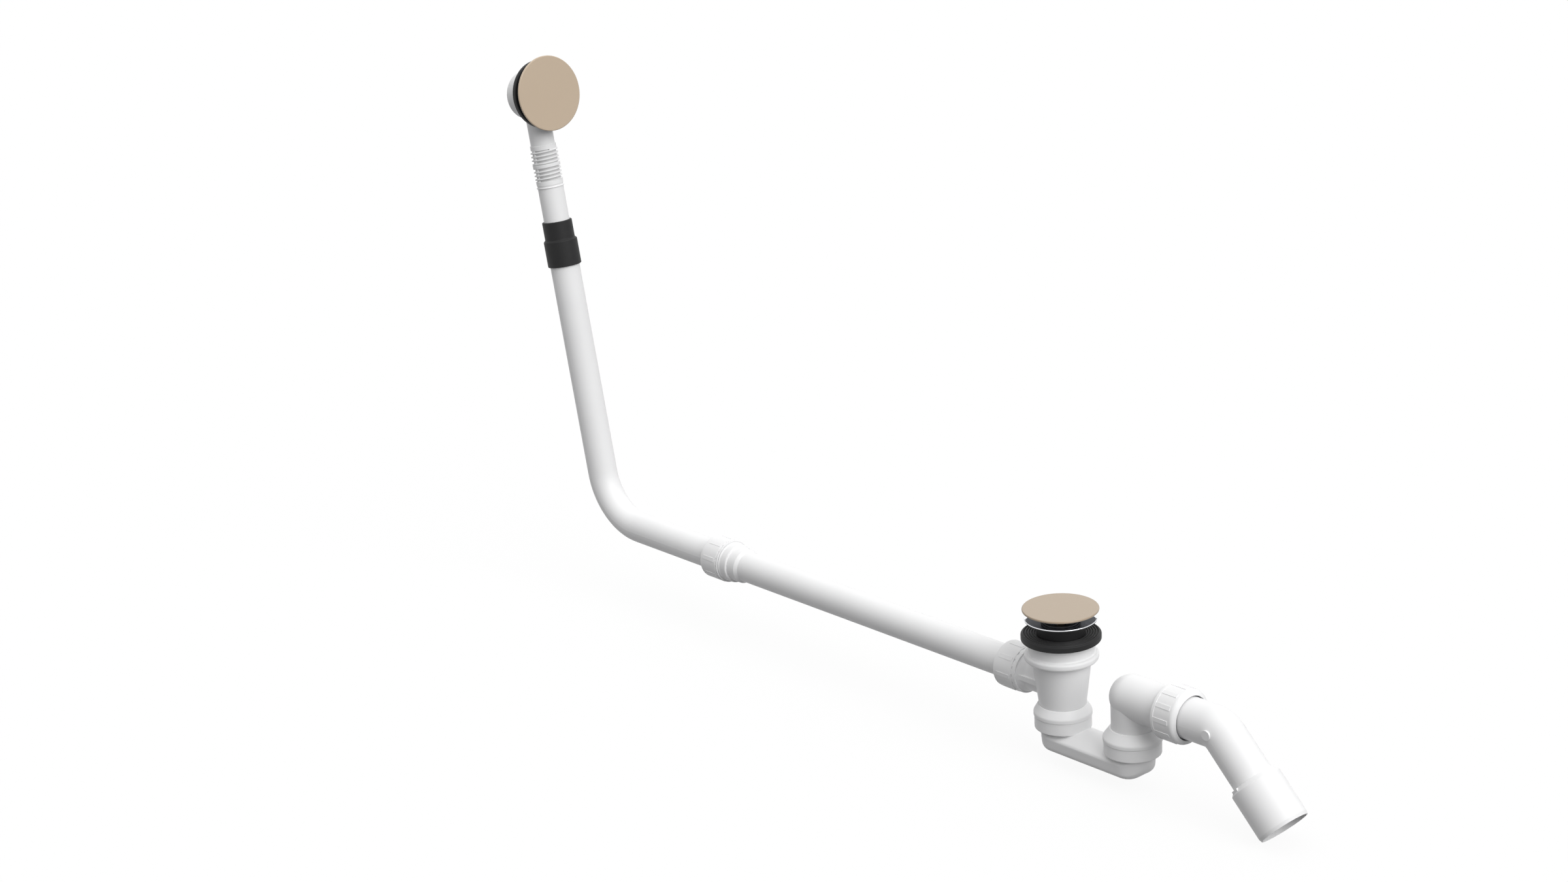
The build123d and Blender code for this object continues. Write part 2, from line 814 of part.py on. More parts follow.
# Overflow body: the drum behind the bath's wall, with its flange, boss and neck
neck_end = top_collar_top - neck_insertion
with BuildPart() as overflow_body:
    turned(
        head,
        (drum_mouth, 0),
        (drum_mouth, mouth_flange_radius),
        (mouth_flange_back, mouth_flange_radius, 0.8),
        (mouth_flange_back, drum_radius),
        (drum_back, drum_radius, drum_round),
        (drum_back, 0),
    )
    rod(riser, neck_end, head_height, neck_radius)
    rod(head, drum_mouth, drum_mouth + neck_radius, wall_gasket_radius + 0.6, mode=Mode.SUBTRACT)
    turned(
        head,
        (drum_mouth, 0),
        (drum_mouth, drum_radius - drum_wall),
        (drum_back + drum_wall, drum_radius - drum_wall, drum_round - drum_wall),
        (drum_back + drum_wall, 0),
        mode=Mode.SUBTRACT,
    )
    rod(riser, neck_end, head_height, neck_bore, mode=Mode.SUBTRACT)
    rod(head, drum_back + drum_wall / 2, drum_back + head_boss_length, head_boss_radius)
    rod(
        head,
        drum_back + head_boss_length - head_bush_length,
        drum_back + head_boss_length,
        head_bush_radius,
        mode=Mode.SUBTRACT,
    )
finish(overflow_body, "overflow_body")

# Threaded bush in the drum's boss
bush_front = drum_back + head_boss_length
with BuildPart() as head_bush:
    turned(
        head,
        (bush_front - head_bush_length, head_screw_radius + slip_gap),
        (bush_front - head_bush_length, head_bush_radius),
        (bush_front, head_bush_radius),
        (bush_front, head_screw_radius + slip_gap),
    )
finish(head_bush, "head_bush")

# Wall gasket: the rubber ring between the bath's wall and the drum's flange
with BuildPart() as wall_gasket:
    turned(
        head,
        (drum_mouth, wall_flange_collar + swivel_gap),
        (drum_mouth, wall_gasket_radius, wall_gasket_round),
        (wall_gasket_front, wall_gasket_radius, wall_gasket_round),
        (wall_gasket_front, wall_flange_collar + swivel_gap),
    )
finish(wall_gasket, "wall_gasket")

# Wall flange: the ported plate inside the bath that clamps the wall
hub_front = wall_flange_front + wall_hub_front
with BuildPart() as wall_flange:
    turned(
        head,
        (wall_flange_back, wall_flange_collar - wall_flange_collar_wall),
        (wall_flange_back - wall_flange_reach, wall_flange_collar - wall_flange_collar_wall),
        (wall_flange_back - wall_flange_reach, wall_flange_collar),
        (wall_flange_back, wall_flange_collar),
        (wall_flange_back, wall_flange_radius, 0.4),
        (wall_flange_front, wall_flange_radius, 0.8),
        (wall_flange_front, wall_hub_radius),
        (hub_front, wall_hub_radius, 0.4),
        (hub_front, head_screw_head_radius + slip_gap),
        (hub_front - head_screw_head_height, head_screw_head_radius + slip_gap),
        (hub_front - head_screw_head_height, head_screw_radius + slip_gap),
        (wall_flange_back - wall_hub_back, head_screw_radius + slip_gap),
        (wall_flange_back - wall_hub_back, wall_hub_radius),
        (wall_flange_back, wall_hub_radius),
    )
    with BuildSketch(across(head, wall_flange_back)):
        with PolarLocations(intake_port_circle, port_count):
            Circle(intake_port_radius)
    extrude(amount=wall_flange_thickness, mode=Mode.SUBTRACT)
finish(wall_flange, "wall_flange")

# Flange screw: from the wall flange into the bush in the drum
with BuildPart() as head_screw:
    turned(
        head,
        (hub_front, 0),
        (hub_front, head_screw_head_radius, 0.5),
        (hub_front - head_screw_head_height, head_screw_head_radius),
        (hub_front - head_screw_head_height, head_screw_radius),
        (hub_front - head_screw_length, head_screw_radius, 0.5),
        (hub_front - head_screw_length, 0),
    )
    with BuildSketch(across(head, hub_front)):
        Rectangle(head_screw_head_radius * 2, 1.0)
    extrude(amount=-1.2, mode=Mode.SUBTRACT)
finish(head_screw, "head_screw")

# Overflow cover: the coloured disc that snaps over the hub of the wall flange
with BuildPart() as overflow_cover:
    turned(
        head,
        (0, 0),
        (0, head_cover_radius, head_cover_round),
        (-head_cover_thickness, head_cover_radius, head_cover_round),
        (-head_cover_thickness, wall_hub_radius + slip_gap + head_socket_wall),
        (wall_flange_front + face_gap, wall_hub_radius + slip_gap + head_socket_wall),
        (wall_flange_front + face_gap, wall_hub_radius + slip_gap),
        (-head_cover_thickness, wall_hub_radius + slip_gap),
        (-head_cover_thickness, 0),
    )
finish(overflow_cover, "overflow_cover")

# Rings over the trap's two necks, each holding a rubber ring round a spigot
ring_bore = spigot_radius + swivel_gap
tongue_top = -ring_drop + tongue_height
for ring_node, seal_node, axis, top_drop, top_radius in (
    ("trap_inlet_ring", "trap_inlet_seal", waste_axis, inlet_ring_top_drop, inlet_ring_top_radius),
    (
        "trap_outlet_ring",
        "trap_outlet_seal",
        trap_outlet_axis,
        outlet_ring_top_drop,
        outlet_ring_top_radius,
    ),
):
    with BuildPart() as trap_ring:
        turned(
            axis,
            (-top_drop, ring_bore),
            (-top_drop, top_radius, 0.4),
            (-ring_shoulder_drop, ring_radius, ring_shoulder_round),
            (-ring_drop, ring_radius, ring_foot_round),
            (-ring_drop, tongue_radius + slip_gap),
            (tongue_top, tongue_radius + slip_gap),
            (tongue_top, ring_inner_radius),
            (-ring_roof_drop, ring_inner_radius),
            (-ring_roof_drop, ring_bore),
        )
    finish(trap_ring, ring_node)
    with BuildPart() as trap_seal:
        turned(
            axis,
            (-ring_roof_drop - face_gap, ring_bore),
            (-ring_roof_drop - face_gap, ring_inner_radius - slip_gap),
            (tongue_top + face_gap, ring_inner_radius - slip_gap),
            (tongue_top + face_gap, ring_bore),
        )
    finish(trap_seal, seal_node)


def tub(inset, mode=Mode.ADD):
    """The trap's tub: a round-ended, rounded block cut by a cross-section with a crowned top."""
    half_width = tub_half_width - inset
    reach = tub_end_reach - inset
    floor = -tub_drop + inset
    crown = -tub_crown_drop - inset
    edge = -tub_edge_drop - inset
    lean = (edge - floor) * sin(radians(tub_taper))
    with BuildPart(mode=Mode.PRIVATE) as blank:
        with BuildSketch(Plane.XZ) as side:
            with BuildLine():
                Polyline(
                    (-reach, crown),
                    (-reach, floor),
                    (trap_centres + reach, floor),
                    (trap_centres + reach, crown),
                    close=True,
                )
            make_face()
            fillet(side.vertices().group_by(Axis.Y)[0], tub_end_round - inset)
        extrude(amount=half_width, both=True)
        walls = blank.faces().sort_by(Axis.Y)
        rims = walls[0].edges().sort_by(Axis.Z)[:-1] + walls[-1].edges().sort_by(Axis.Z)[:-1]
        fillet(rims, tub_edge_round - inset / 2)
        with BuildSketch(Plane.YZ):
            with BuildLine():
                crown_arc = ThreePointArc((half_width, edge), (0, crown), (-half_width, edge))
                Polyline(
                    crown_arc @ 1,
                    (-half_width + lean, floor),
                    (half_width - lean, floor),
                    crown_arc @ 0,
                )
            make_face()
        extrude(amount=(trap_centres + reach) * 2, both=True, mode=Mode.INTERSECT)
    add(blank.part, mode=mode)


# Trap cup: the tub with its two necks, which hold the water
neck_floor = -trap_neck_drop + trap_neck_floor
trap_neck_bore = trap_neck_radius - trap_neck_wall
with BuildPart() as trap_cup:
    tub(0)
    for axis in (waste_axis, trap_outlet_axis):
        turned(
            axis,
            (-trap_neck_drop - tub_wall, 0),
            (-trap_neck_drop - tub_wall, tub_end_reach - tub_wall),
            (-trap_neck_drop, tub_end_reach - tub_wall),
            (-trap_neck_drop, trap_neck_radius, trap_neck_round),
            (-ring_drop, trap_neck_radius),
            (-ring_drop, tongue_radius),
            (tongue_top, tongue_radius),
            (tongue_top, 0),
        )
    tub(tub_wall, mode=Mode.SUBTRACT)
    for axis in (waste_axis, trap_outlet_axis):
        rod(axis, neck_floor, tongue_top, trap_neck_bore, mode=Mode.SUBTRACT)
        rod(
            axis,
            -trap_neck_drop - tub_wall,
            neck_floor,
            tub_end_reach - tub_wall * 1.5,
            mode=Mode.SUBTRACT,
        )
finish(trap_cup, "trap_cup")

# Outlet elbow: a spigot up out of the trap, a round blind crown and a threaded side socket
elbow_thread_end = elbow_thread_start + elbow_thread_length
elbow_bore = spigot_radius - spigot_wall
with BuildPart() as outlet_elbow:
    rod(trap_outlet_axis, -spigot_drop, -outlet_drop, spigot_radius)
    with Locations(elbow_centre):
        Sphere(elbow_radius)
    turned(
        outlet_joint,
        (-elbow_face, 0),
        (-elbow_face, elbow_radius),
        (elbow_thread_start, elbow_radius),
        (elbow_thread_start, elbow_thread_radius),
        (elbow_thread_end, elbow_thread_radius),
        (elbow_thread_end, 0),
    )
    rod(trap_outlet_axis, -spigot_drop, -outlet_drop, elbow_bore, mode=Mode.SUBTRACT)
    with Locations(elbow_centre):
        Sphere(elbow_bore, mode=Mode.SUBTRACT)
    turned(
        outlet_joint,
        (-elbow_face, 0),
        (-elbow_face, elbow_bore),
        (elbow_thread_end - elbow_socket_depth, elbow_bore),
        (elbow_thread_end - elbow_socket_depth, outlet_pipe_radius + slip_gap),
        (elbow_thread_end, outlet_pipe_radius + slip_gap),
        (elbow_thread_end, 0),
        mode=Mode.SUBTRACT,
    )
finish(outlet_elbow, "outlet_elbow")

# Outlet nut: like the small ones, with a raised rim and a round nose
outlet_nut_cavity = outlet_nut_length - outlet_nut_wall
outlet_nut_small_radius = outlet_nut_radius - outlet_nut_taper
with BuildPart() as outlet_nut:
    turned(
        outlet_joint,
        (0, elbow_thread_radius + slip_gap),
        (0, outlet_nut_radius + outlet_nut_rim_height, 0.5),
        (outlet_nut_rim, outlet_nut_radius + outlet_nut_rim_height, 0.3),
        (outlet_nut_rim, outlet_nut_radius),
        (outlet_nut_length - outlet_nut_nose_length / 2, outlet_nut_small_radius, 4.0),
        (outlet_nut_length, outlet_nut_nose_radius),
        (outlet_nut_length, outlet_nut_opening),
        (outlet_nut_cavity, outlet_nut_opening),
        (outlet_nut_cavity, elbow_thread_radius + slip_gap),
    )
    with BuildSketch(across(outlet_joint, outlet_nut_rim)):
        with PolarLocations(outlet_nut_small_radius, outlet_rib_count, start_angle=outlet_nut_turn):
            Rectangle(outlet_rib_height * 2 + outlet_nut_taper * 2, outlet_rib_width)
    extrude(amount=outlet_rib_length)
finish(outlet_nut, "outlet_nut")

# Rubber ring and slip washer inside the outlet nut
outlet_seal_end = elbow_thread_end + face_gap + outlet_seal_width
for node, start, end in (
    ("outlet_seal", elbow_thread_end + face_gap, outlet_seal_end),
    ("slip_washer", outlet_seal_end, outlet_seal_end + outlet_washer_width),
):
    with BuildPart() as outlet_packing:
        turned(
            outlet_joint,
            (start, outlet_pipe_radius + slip_gap),
            (start, elbow_thread_radius - slip_gap),
            (end, elbow_thread_radius - slip_gap),
            (end, outlet_pipe_radius + slip_gap),
        )
    finish(outlet_packing, node)

# Outlet bend: two straight legs and a tight turn, nearly sharp inside and round outside
outlet_pipe_bore = outlet_pipe_radius - outlet_pipe_wall
outlet_pipe_start = elbow_thread_end - outlet_pipe_insertion
with BuildPart() as outlet_bend:
    with BuildLine() as route:
        FilletPolyline(
            outlet_joint.from_local_coords((outlet_pipe_start, 0, 0)),
            outlet_corner,
            outlet_leg.from_local_coords((outlet_leg_length, 0, 0)),
            radius=outlet_bend_radius,
        )
    with BuildSketch(across(outlet_joint, outlet_pipe_start)) as outside:
        Circle(outlet_pipe_radius)
    sweep(outside.sketch, path=route.line)
    with BuildSketch(Plane.XZ.offset(outlet_pipe_radius + boss_height)) as boss:
        with Locations((outlet_corner.X, outlet_corner.Z)):
            Circle(boss_radius)
    extrude(boss.sketch, amount=-outlet_pipe_wall * 2)
    with BuildSketch(across(outlet_joint, outlet_pipe_start)) as inside:
        Circle(outlet_pipe_bore)
    sweep(inside.sketch, path=route.line, mode=Mode.SUBTRACT)
finish(outlet_bend, "outlet_bend")

# Drain sleeve: it grips the end of the bend and goes over to the wider drain pipe
drain_sleeve_end = drain_sleeve_start + drain_sleeve_length
drain_shoulder = drain_sleeve_start + drain_lip_length
drain_grip_end = drain_sleeve_start + drain_grip_length
drain_bore = drain_sleeve_radius - drain_sleeve_wall
with BuildPart() as drain_sleeve:
    turned(
        outlet_leg,
        (drain_sleeve_start, outlet_pipe_radius + slip_gap),
        (drain_sleeve_start, drain_lip_radius, 0.3),
        (drain_shoulder, drain_lip_radius + 0.7),
        (drain_shoulder + drain_shoulder_length, drain_sleeve_radius, 0.6),
        (drain_sleeve_end - drain_end_chamfer, drain_sleeve_radius),
        (drain_sleeve_end, drain_end_radius),
        (drain_sleeve_end, drain_bore),
        (drain_grip_end + 2.0, drain_bore),
        (drain_grip_end, outlet_pipe_radius + slip_gap),
    )
    with BuildSketch(across(outlet_leg, drain_sleeve_start + drain_lip_length / 2)):
        with PolarLocations(drain_lip_radius + drain_tab_height / 2, 1, start_angle=drain_tab_turn):
            Rectangle(drain_tab_height, drain_tab_width)
    extrude(amount=drain_shoulder_length)
finish(drain_sleeve, "drain_sleeve")
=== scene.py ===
"""Bath waste and overflow with a low trap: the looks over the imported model, in metres.

The origin is on the waste's axis, in the plane of the profile gasket's top. Z points up, the
outlet runs along +X and the overflow along -X.
"""

import bmesh
import bpy
import numpy as np
from mathutils import Matrix


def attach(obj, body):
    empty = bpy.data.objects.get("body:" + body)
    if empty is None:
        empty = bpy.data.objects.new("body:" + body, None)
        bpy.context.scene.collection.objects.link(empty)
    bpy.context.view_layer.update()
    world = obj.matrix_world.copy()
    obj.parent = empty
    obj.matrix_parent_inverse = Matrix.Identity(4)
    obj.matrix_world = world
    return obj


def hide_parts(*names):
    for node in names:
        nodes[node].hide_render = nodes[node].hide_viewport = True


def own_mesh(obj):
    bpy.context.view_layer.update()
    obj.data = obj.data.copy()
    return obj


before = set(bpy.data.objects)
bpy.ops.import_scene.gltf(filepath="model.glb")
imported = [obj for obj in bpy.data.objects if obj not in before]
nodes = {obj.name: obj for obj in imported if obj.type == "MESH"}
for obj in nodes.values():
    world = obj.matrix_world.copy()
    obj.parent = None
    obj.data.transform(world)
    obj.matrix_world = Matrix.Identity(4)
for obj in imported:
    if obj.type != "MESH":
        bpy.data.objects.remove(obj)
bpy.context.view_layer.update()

# Waste body: the white moulding under the bath, with its seat, collar, cone and branch.
# It is injection moulded from a slightly cloudy white plastic, satin to the touch, and a brass
# bush is moulded into the hub inside it.


def add_node(tree, kind, links=None, **options):
    """Put one node in a tree; each entry of links sets an input, or joins it to another socket."""
    node = tree.nodes.new(kind)
    for option, value in options.items():
        setattr(node, option, value)
    for key, value in (links or {}).items():
        if isinstance(value, bpy.types.NodeSocket):
            tree.links.new(value, node.inputs[key])
        else:
            node.inputs[key].default_value = value
    return node


def new_group(name, inputs, outputs):
    """Start a node group with named sockets; give back its tree and its two end nodes."""
    tree = bpy.data.node_groups.new(name, "ShaderNodeTree")
    for socket, kind, value in inputs:
        item = tree.interface.new_socket(name=socket, in_out="INPUT", socket_type=kind)
        if value is not None:
            item.default_value = value
    for socket, kind in outputs:
        tree.interface.new_socket(name=socket, in_out="OUTPUT", socket_type=kind)
    return tree, tree.nodes.new("NodeGroupInput"), tree.nodes.new("NodeGroupOutput")


def maths(tree, operation, first, second):
    """One sum on two numbers or sockets."""
    return add_node(tree, "ShaderNodeMath", {0: first, 1: second}, operation=operation).outputs[0]


def object_place(tree, centre, turn):
    """Object coordinates measured from a centre and along axes turned with a piece."""
    return add_node(
        tree,
        "ShaderNodeMapping",
        {
            "Vector": add_node(tree, "ShaderNodeTexCoord").outputs["Object"],
            "Location": centre,
            "Rotation": turn,
        },
        vector_type="TEXTURE",
    ).outputs["Vector"]


def distance_from_axis(tree, place):
    """Distance of a vector from its own Z axis."""
    flat = add_node(
        tree, "ShaderNodeVectorMath", {0: place, 1: (1.0, 1.0, 0.0)}, operation="MULTIPLY"
    ).outputs["Vector"]
    return add_node(tree, "ShaderNodeVectorMath", {0: flat}, operation="LENGTH").outputs["Value"]


# The grain of a moulded skin: colour = base x (1 + cloud x (wide noise - 1/2)), roughness =
# gloss + spread x (middle noise - 1/2), height = fine noise, all on Object coordinates.
grain, grain_in, grain_out = new_group(
    "moulded_grain",
    [
        ("Colour", "NodeSocketColor", (0.8, 0.8, 0.8, 1)),
        ("Cloud", "NodeSocketFloat", 0.05),
        ("Gloss", "NodeSocketFloat", 0.4),
        ("Spread", "NodeSocketFloat", 0.1),
        ("Grain size", "NodeSocketFloat", 1800.0),
    ],
    [
        ("Colour", "NodeSocketColor"),
        ("Roughness", "NodeSocketFloat"),
        ("Height", "NodeSocketFloat"),
    ],
)
grain_place = add_node(grain, "ShaderNodeTexCoord").outputs["Object"]
wide_noise = add_node(
    grain,
    "ShaderNodeTexNoise",
    {"Vector": grain_place, "Scale": 22.0, "Detail": 3.0},
)
middle_noise = add_node(
    grain,
    "ShaderNodeTexNoise",
    {"Vector": grain_place, "Scale": 160.0, "Detail": 4.0},
)
fine_noise = add_node(
    grain,
    "ShaderNodeTexNoise",
    {"Vector": grain_place, "Scale": grain_in.outputs["Grain size"], "Detail": 2.0},
)
cloudiness = maths(
    grain,
    "MULTIPLY",
    maths(grain, "SUBTRACT", wide_noise.outputs["Fac"], 0.5),
    grain_in.outputs["Cloud"],
)
clouded = add_node(
    grain,
    "ShaderNodeVectorMath",
    {0: grain_in.outputs["Colour"], "Scale": maths(grain, "ADD", cloudiness, 1.0)},
    operation="SCALE",
)
uneven_gloss = maths(
    grain,
    "MULTIPLY",
    maths(grain, "SUBTRACT", middle_noise.outputs["Fac"], 0.5),
    grain_in.outputs["Spread"],
)
grain_roughness = maths(grain, "ADD", uneven_gloss, grain_in.outputs["Gloss"])
grain.links.new(clouded.outputs["Vector"], grain_out.inputs["Colour"])
grain.links.new(grain_roughness, grain_out.inputs["Roughness"])
grain.links.new(fine_noise.outputs["Fac"], grain_out.inputs["Height"])


def moulded(name, colour, gloss, cloud, spread, grain_size, grain_depth, specular):
    """A moulded or coated skin: its grain group feeds colour, roughness and a fine bump."""
    material = bpy.data.materials.new(name)
    material.use_nodes = True
    tree = material.node_tree
    grained = add_node(tree, "ShaderNodeGroup", node_tree=grain)
    for socket, value in (
        ("Colour", (*colour, 1)),
        ("Cloud", cloud),
        ("Gloss", gloss),
        ("Spread", spread),
        ("Grain size", grain_size),
    ):
        grained.inputs[socket].default_value = value
    bump = add_node(
        tree,
        "ShaderNodeBump",
        {"Height": grained.outputs["Height"], "Strength": 1.0, "Distance": grain_depth},
    )
    shader = tree.nodes["Principled BSDF"]
    shader.inputs["Specular IOR Level"].default_value = specular
    tree.links.new(grained.outputs["Colour"], shader.inputs["Base Color"])
    tree.links.new(grained.outputs["Roughness"], shader.inputs["Roughness"])
    tree.links.new(bump.outputs["Normal"], shader.inputs["Normal"])
    return material


def dress(material, *names):
    """Give CAD nodes a material in every slot."""
    for name in names:
        slots = nodes[name].data.materials
        for index in range(len(slots)):
            slots[index] = material


white_skin = {
    "colour": (0.90, 0.90, 0.903),
    "gloss": 0.42,
    "cloud": 0.05,
    "spread": 0.14,
    "grain_size": 1500.0,
    "grain_depth": 0.00001,
    "specular": 0.4,
}
white_plastic = moulded("white_plastic", **white_skin)
dress(white_plastic, "waste_body")


# Turned metal: roughness and height follow a one-way noise of the distance from the piece's axis,
# which runs through the origin of the vector that comes in, along its Z.
turned_lines, lines_in, lines_out = new_group(
    "turned_lines",
    [
        ("Place", "NodeSocketVector", None),
        ("Gloss", "NodeSocketFloat", 0.2),
        ("Spread", "NodeSocketFloat", 0.1),
        ("Lines per metre", "NodeSocketFloat", 4000.0),
    ],
    [("Roughness", "NodeSocketFloat"), ("Height", "NodeSocketFloat")],
)
from_axis = distance_from_axis(turned_lines, lines_in.outputs["Place"])
line_count = maths(turned_lines, "MULTIPLY", from_axis, lines_in.outputs["Lines per metre"])
line_noise = add_node(
    turned_lines,
    "ShaderNodeTexNoise",
    {"W": line_count, "Scale": 1.0},
    noise_dimensions="1D",
)
line_gloss = maths(
    turned_lines,
    "MULTIPLY",
    maths(turned_lines, "SUBTRACT", line_noise.outputs["Fac"], 0.5),
    lines_in.outputs["Spread"],
)
line_roughness = maths(turned_lines, "ADD", line_gloss, lines_in.outputs["Gloss"])
turned_lines.links.new(line_roughness, lines_out.inputs["Roughness"])
turned_lines.links.new(line_noise.outputs["Fac"], lines_out.inputs["Height"])


def turned_metal(name, colour, gloss, spread, line_depth, centre=(0, 0, 0), turn=(0, 0, 0)):
    """Bare or plated metal, turned about an axis; centre and turn say where that axis lies."""
    material = bpy.data.materials.new(name)
    material.use_nodes = True
    tree = material.node_tree
    lines = add_node(tree, "ShaderNodeGroup", node_tree=turned_lines)
    lines.inputs["Gloss"].default_value = gloss
    lines.inputs["Spread"].default_value = spread
    tree.links.new(object_place(tree, centre, turn), lines.inputs["Place"])
    bump = add_node(
        tree,
        "ShaderNodeBump",
        {"Height": lines.outputs["Height"], "Strength": 1.0, "Distance": line_depth},
    )
    shader = tree.nodes["Principled BSDF"]
    shader.inputs["Base Color"].default_value = (*colour, 1)
    shader.inputs["Metallic"].default_value = 1.0
    tree.links.new(lines.outputs["Roughness"], shader.inputs["Roughness"])
    tree.links.new(bump.outputs["Normal"], shader.inputs["Normal"])
    return material


brass = turned_metal(
    "brass", colour=(0.70, 0.50, 0.22), gloss=0.28, spread=0.12, line_depth=0.000004
)
dress(brass, "hub_bush")

# Profile gasket and flange seal: soft black rubber rings that seal the bath's floor from both
# sides. They are pressed in a mould and come out matt, with a faint bloom on the skin.
black_rubber = moulded(
    "black_rubber",
    colour=(0.012, 0.012, 0.0125),
    gloss=0.58,
    cloud=0.35,
    spread=0.2,
    grain_size=2600.0,
    grain_depth=0.000015,
    specular=0.3,
)
dress(black_rubber, "profile_gasket", "flange_seal")

# Waste flange and clamp screw: a pressed and plated metal dish in the bath, drawn down on the body
# by a plated screw. Both are polished, and only faint turning lines are left on them.
chrome_colour = (0.74, 0.75, 0.77)
chrome = turned_metal(
    "chrome", colour=chrome_colour, gloss=0.07, spread=0.05, line_depth=0.000001
)
dress(chrome, "waste_flange", "clamp_screw")

# Plug: a coated metal disc on a moulded seal carrier, with a rubber ring and a brass stem that
# slides in the clamp screw. The disc is coated beige over its face and edge, and left dark below.
bare_colour = (0.20, 0.205, 0.225)
coated_from = 0.0226


def coated_disc(name, colour, edge, centre=(0, 0, 0), turn=(0, 0, 0)):
    """A coated face over a bare back: coated above the height edge along the axis, bare below."""
    material = moulded(
        name,
        colour=colour,
        gloss=0.36,
        cloud=0.03,
        spread=0.06,
        grain_size=3000.0,
        grain_depth=0.000006,
        specular=0.35,
    )
    tree = material.node_tree
    shader = tree.nodes["Principled BSDF"]
    coated = shader.inputs["Base Color"].links[0].from_socket
    place = object_place(tree, centre, turn)
    height = add_node(tree, "ShaderNodeSeparateXYZ", {0: place}).outputs["Z"]
    face = maths(tree, "GREATER_THAN", height, edge)
    shown = add_node(tree, "ShaderNodeMix", {"Factor": face}, data_type="RGBA")
    shown.inputs[6].default_value = (*bare_colour, 1)
    tree.links.new(coated, shown.inputs[7])
    tree.links.new(shown.outputs[2], shader.inputs["Base Color"])
    return material


waste_coating = coated_disc("waste_cover_coating", (0.425, 0.340, 0.252), coated_from)
dress(waste_coating, "waste_cover")
grey_plastic = moulded(
    "grey_plastic",
    colour=(0.14, 0.145, 0.15),
    gloss=0.45,
    cloud=0.06,
    spread=0.12,
    grain_size=1500.0,
    grain_depth=0.00001,
    specular=0.4,
)
dress(grey_plastic, "seal_carrier")
grey_rubber = moulded(
    "grey_rubber",
    colour=(0.050, 0.052, 0.060),
    gloss=0.5,
    cloud=0.3,
    spread=0.2,
    grain_size=2600.0,
    grain_depth=0.000015,
    specular=0.4,
)
dress(grey_rubber, "plug_seal")
dress(brass, "plug_stem")
spring_steel = turned_metal(
    "spring_steel", colour=(0.52, 0.52, 0.53), gloss=0.3, spread=0.1, line_depth=0.000002
)
dress(spring_steel, "click_spring")
# The spring stands on the guide's floor, and pressed home it keeps about two thirds of its length.
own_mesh(nodes["click_spring"])

# Overflow run: two ribbed nuts with tapered rubber rings, the level pipe between them and the
# bent pipe that goes up to the head. All but the rings are in the body's white plastic.
dress(white_plastic, "branch_nut", "coupling_nut", "lower_pipe", "overflow_pipe")
dress(black_rubber, "branch_seal", "coupling_seal")

# Rubber sleeve: a stepped black ring pushed over the pipe below and the connector above.
# It is the gaskets' rubber, moulded in one piece.
dress(black_rubber, "rubber_sleeve")

# Ribbed connector: a white moulding with a coarse right-hand rib between bands, a spine down each
# side and a pocket beside each spine. The neck of the head stands in its upper end.
riser_lean = np.radians(9.88)
riser_foot = np.array([-0.6856, 0.0, -0.0514])
riser_way = np.array([-np.sin(riser_lean), 0.0, np.cos(riser_lean)])
front_way = np.array([np.cos(riser_lean), 0.0, np.sin(riser_lean)])
side_way = np.array([0.0, 1.0, 0.0])

# Heights up the riser from its foot and radii in millimetres, angles in degrees from its front
connector_low = 316.5
stop_ring = (371.4, 372.3, 15.0)
low_band = (374.2, 379.0, 14.5)
middle_band = (394.0, 397.4, 15.0)
top_collar = (412.8, 417.8, 14.1)
tube_radius = 14.0
core_radius = 12.9
rib_pitch = 4.0
rib_crest = 14.9
rib_half_root = 1.1
rib_half_crest = 0.55
lower_rib_start = 382.63
upper_rib_start = 399.33
spine_half_width = 1.6
spine_radius = 14.0
pocket_start = 6.5
pocket_sweep = 66.0
pocket_depth = 1.8
pocket_bend = 1.3
slot_end = -11.0
slot_hole_sweep = 5.0
slot_hole_depth = 1.6
around_count = 252
tube_rows = 16
ribbed_rows = 296


def between(value, low, high, edge=0.06):
    """1 inside a span and 0 outside it, with a straight ramp of the edge's width at both ends."""
    return np.clip(np.minimum(value - low, high - value) / edge + 0.5, 0.0, 1.0)


